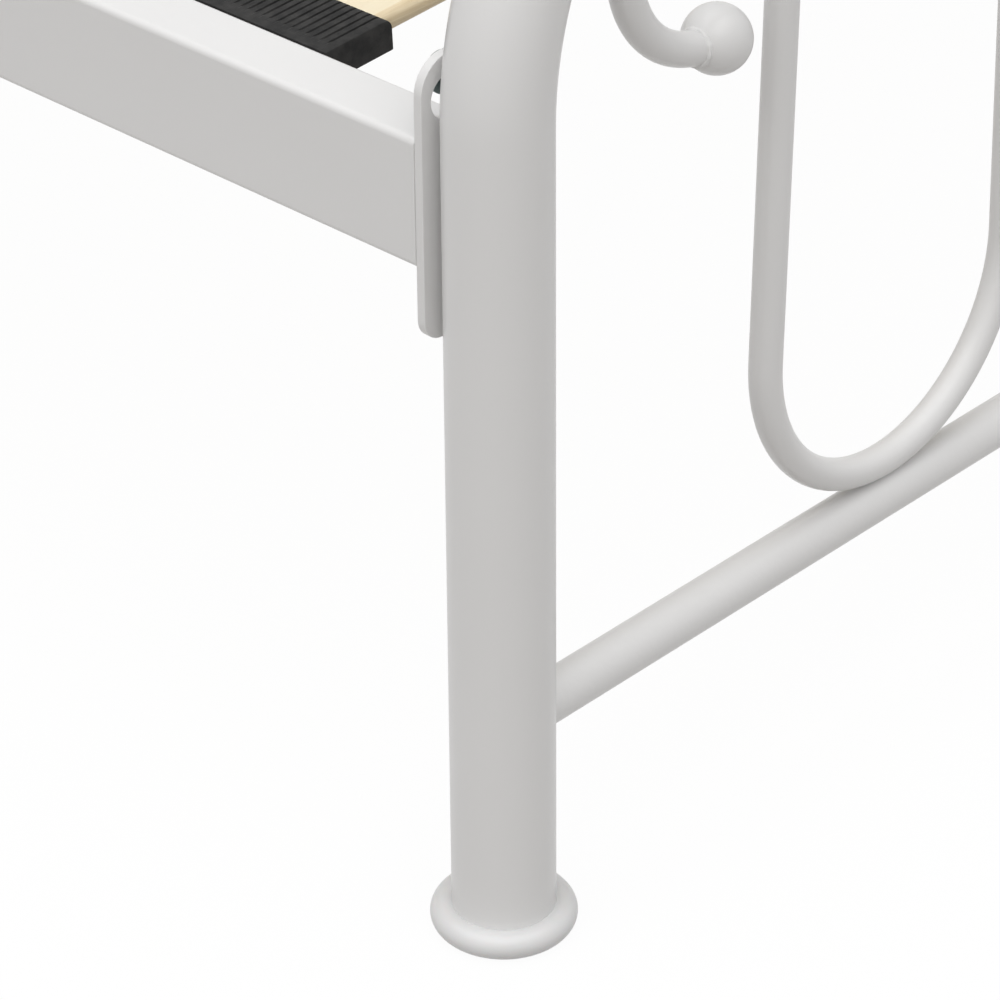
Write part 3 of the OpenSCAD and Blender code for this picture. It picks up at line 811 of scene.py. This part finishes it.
def studio():
    """White floor and world; they light the bed softly, and show white to the camera."""
    bpy.ops.mesh.primitive_plane_add(size=60)
    floor = bpy.context.object
    floor.name = "floor"
    material, shader, add, links = new_material("studio_floor")
    shader.inputs["Roughness"].default_value = 0.9
    shader.inputs["Specular IOR Level"].default_value = 0.0
    path = add("LightPath")
    seen = add("Math", {"operation": "MAXIMUM"})
    links.new(path.outputs["Is Camera Ray"], seen.inputs[0])
    links.new(path.outputs["Is Glossy Ray"], seen.inputs[1])
    seen_all = add("Math", {"operation": "MAXIMUM"})
    links.new(seen.outputs[0], seen_all.inputs[0])
    links.new(path.outputs["Is Transmission Ray"], seen_all.inputs[1])
    tone = ramp(add, seen_all.outputs[0], [(0, (0.37, 0.355, 0.34)), (1, (0.97, 0.97, 0.97))])
    links.new(tone, shader.inputs["Base Color"])
    share = add("Math", {"operation": "MULTIPLY"})
    links.new(seen_all.outputs[0], share.inputs[0])
    share.inputs[1].default_value = 0.95
    white = add("Emission")
    white.inputs["Color"].default_value = (1, 1, 1, 1)
    white.inputs["Strength"].default_value = 1.0
    mixed = add("MixShader")
    links.new(share.outputs[0], mixed.inputs[0])
    links.new(shader.outputs[0], mixed.inputs[1])
    links.new(white.outputs[0], mixed.inputs[2])
    output = material.node_tree.nodes["Material Output"]
    links.new(mixed.outputs[0], output.inputs["Surface"])
    floor.data.materials.append(material)

    world = bpy.data.worlds.new("studio")
    bpy.context.scene.world = world
    world.use_nodes = True
    nodes, links = world.node_tree.nodes, world.node_tree.links
    lit = nodes["Background"]
    lit.inputs["Color"].default_value = (0.985, 0.99, 1.0, 1)
    lit.inputs["Strength"].default_value = AMBIENT
    shown = nodes.new("ShaderNodeBackground")
    shown.inputs["Color"].default_value = (1, 1, 1, 1)
    path = nodes.new("ShaderNodeLightPath")
    either = nodes.new("ShaderNodeMath")
    either.operation = "MAXIMUM"
    links.new(path.outputs["Is Camera Ray"], either.inputs[0])
    links.new(path.outputs["Is Transmission Ray"], either.inputs[1])
    both = nodes.new("ShaderNodeMath")
    both.operation = "MAXIMUM"
    links.new(either.outputs[0], both.inputs[0])
    links.new(path.outputs["Is Glossy Ray"], both.inputs[1])
    mixed = nodes.new("ShaderNodeMixShader")
    links.new(both.outputs[0], mixed.inputs[0])
    links.new(lit.outputs[0], mixed.inputs[1])
    links.new(shown.outputs[0], mixed.inputs[2])
    links.new(mixed.outputs[0], nodes["World Output"].inputs["Surface"])


def soft_sun(name, azimuth, elevation, strength, spread_deg, colour):
    """A wide, soft lamp, shining from that direction."""
    lamp = bpy.data.lights.new(name, "SUN")
    lamp.energy = strength
    lamp.angle = math.radians(spread_deg)
    lamp.color = colour
    lamp_object = bpy.data.objects.new(name, lamp)
    bpy.context.scene.collection.objects.link(lamp_object)
    az, el = math.radians(azimuth), math.radians(elevation)
    source = Vector((math.sin(az) * math.cos(el), -math.cos(az) * math.cos(el), math.sin(el)))
    lamp_object.rotation_euler = source.to_track_quat("Z", "Y").to_euler()


def camera():
    """At the photograph's viewing angle, on the lower front right corner."""
    lens = bpy.data.cameras.new("camera")
    lens.lens = 163.91
    lens.sensor_width = 36
    lens.clip_start = 0.05
    lens.clip_end = 100
    view = bpy.data.objects.new("camera", lens)
    bpy.context.scene.collection.objects.link(view)
    azimuth, elevation, roll = (math.radians(v) for v in (43.328, 31.856, -0.464))
    backward = Vector((math.sin(azimuth) * math.cos(elevation),
                       -math.cos(azimuth) * math.cos(elevation), math.sin(elevation)))
    level = Vector((math.cos(azimuth), math.sin(azimuth), 0))
    upright = backward.cross(level)
    rightward = level * math.cos(roll) + upright * math.sin(roll)
    upward = backward.cross(rightward)
    turn = Matrix((rightward, upward, backward)).transposed().to_4x4()
    view.matrix_world = Matrix.Translation((LEG_X + 0.9081, -LEG_Y - 0.9631, 1.0022)) @ turn
    bpy.context.scene.camera = view


# ---- The scene

AMBIENT = 0.46
camera()
studio()
soft_sun("top_light", 20, 78, 1.75, 80, (1.0, 0.995, 0.99))
soft_sun("front_light", 35, 30, 0.45, 90, (1.0, 0.985, 0.97))
bpy.context.scene.view_settings.view_transform = "Standard"

paint_cad()
for panel in (right, left):
    at, scrolls = end_frame(panel)
    panel_welds(panel, at, scrolls, panel.name + "_crossbar")
    foot_caps(panel)
    finial(panel)
at, scrolls = back_frame()
panel_welds(back, at, scrolls, "back_lower_rail")
rail_welds()
bolts()
for number in range(1, 15):
    slat(f"slat_{number}")
holders("front_rail", "front_slat_holders", -1)
holders("rear_rail", "rear_slat_holders", 1)
